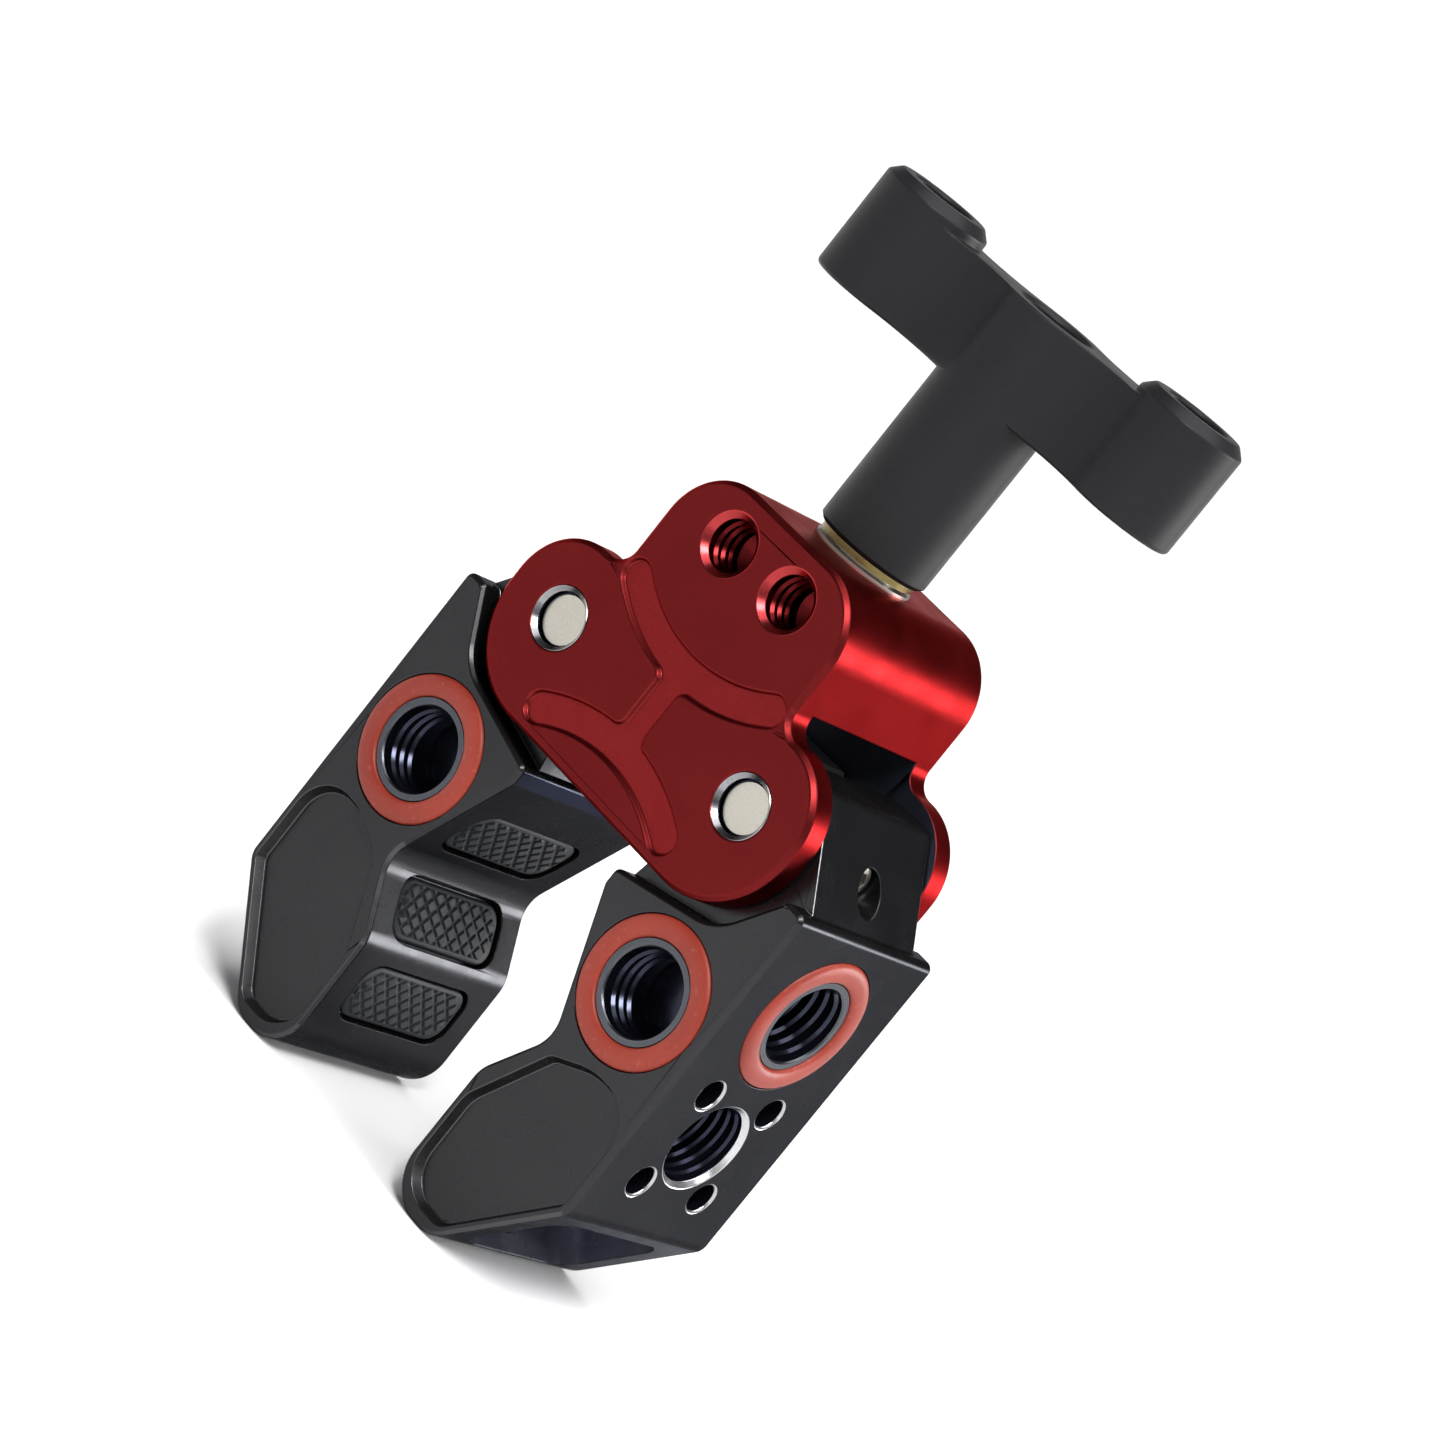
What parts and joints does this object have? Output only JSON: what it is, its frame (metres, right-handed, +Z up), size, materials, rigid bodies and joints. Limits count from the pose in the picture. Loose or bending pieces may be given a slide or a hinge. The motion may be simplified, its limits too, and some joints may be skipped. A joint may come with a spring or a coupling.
{
  "type": "super clamp",
  "caption": "Screw-driven pincer clamp with two notched padded jaws, a T-handle and tapped accessory sockets, for holding studio gear on tubes or edges.",
  "frame": {"origin": "on the axis of a tube gripped between the deepest points of the two jaw notches, midway between the front and rear faces", "axes": "+Z up towards the T-handle, X from the left jaw to the right jaw, +Y from the front face to the rear face"},
  "size_m": [0.0564, 0.0258, 0.1057],
  "materials": {
    "red_anodised": "satin red anodised",
    "black_anodised": "satin dark grey anodised",
    "black_handle": "fine matt black anodised",
    "steel": "satin",
    "dark_steel": "black oxide",
    "nut_steel": "satin",
    "insert_steel": "dark satin",
    "brass": "satin",
    "pad_rubber": "matt, diamond textured",
    "red_silicone": "satin"
  },
  "bodies": {
    "body": {"body_clevis": "red_anodised", "hinge_bush_left_front": "steel", "hinge_bush_left_rear": "steel", "hinge_bush_right_front": "steel", "hinge_bush_right_rear": "steel", "spindle_bush": "brass", "thrust_washer": "steel"},
    "handle": {"t_handle": "black_handle", "clamp_screw": "steel", "brass_washer": "brass", "retaining_ring": "steel"},
    "nut": {"crosshead_nut": "nut_steel"},
    "jaw_left": {"jaw_left": "black_anodised", "hinge_pin_left": "steel", "pin_set_screw_left": "dark_steel", "pad_upper_left": "pad_rubber", "pad_middle_left": "pad_rubber", "pad_lower_left": "pad_rubber", "insert_front_left": "insert_steel", "insert_rear_left": "insert_steel", "insert_outer_left": "insert_steel", "ring_front_left": "red_silicone", "ring_rear_left": "red_silicone", "ring_outer_left": "red_silicone"},
    "jaw_right": {"jaw_right": "black_anodised", "hinge_pin_right": "steel", "pin_set_screw_right": "dark_steel", "pad_upper_right": "pad_rubber", "pad_middle_right": "pad_rubber", "pad_lower_right": "pad_rubber", "insert_front_right": "insert_steel", "insert_rear_right": "insert_steel", "insert_outer_right": "insert_steel", "ring_front_right": "red_silicone", "ring_rear_right": "red_silicone", "ring_outer_right": "red_silicone"}
  },
  "joints": [
    {"name": "handle_spin", "type": "hinge", "parent": "body", "child": "handle", "pos_m": [0, 0, 0.029], "axis": [0, 0, 1], "range_deg": [-470, 715]},
    {"name": "nut_travel", "type": "slide", "parent": "body", "child": "nut", "axis": [0, 0, 1], "range_m": [-0.00248, 0.00163]},
    {"name": "jaw_left_swing", "type": "hinge", "parent": "body", "child": "jaw_left", "pos_m": [-0.015, 0, 0.029], "axis": [0, -1, 0], "range_deg": [-17.93, 11.79]},
    {"name": "jaw_right_swing", "type": "hinge", "parent": "body", "child": "jaw_right", "pos_m": [0.015, 0, 0.029], "axis": [0, 1, 0], "range_deg": [-17.93, 11.79]}
  ],
  "couplings": [
    {"joint": "nut_travel", "follows": "handle_spin", "m_per_rad": -0.00019894},
    {"joint": "jaw_left_swing", "follows": "handle_spin", "ratio": -0.025069},
    {"joint": "jaw_right_swing", "follows": "handle_spin", "ratio": -0.025069}
  ]
}
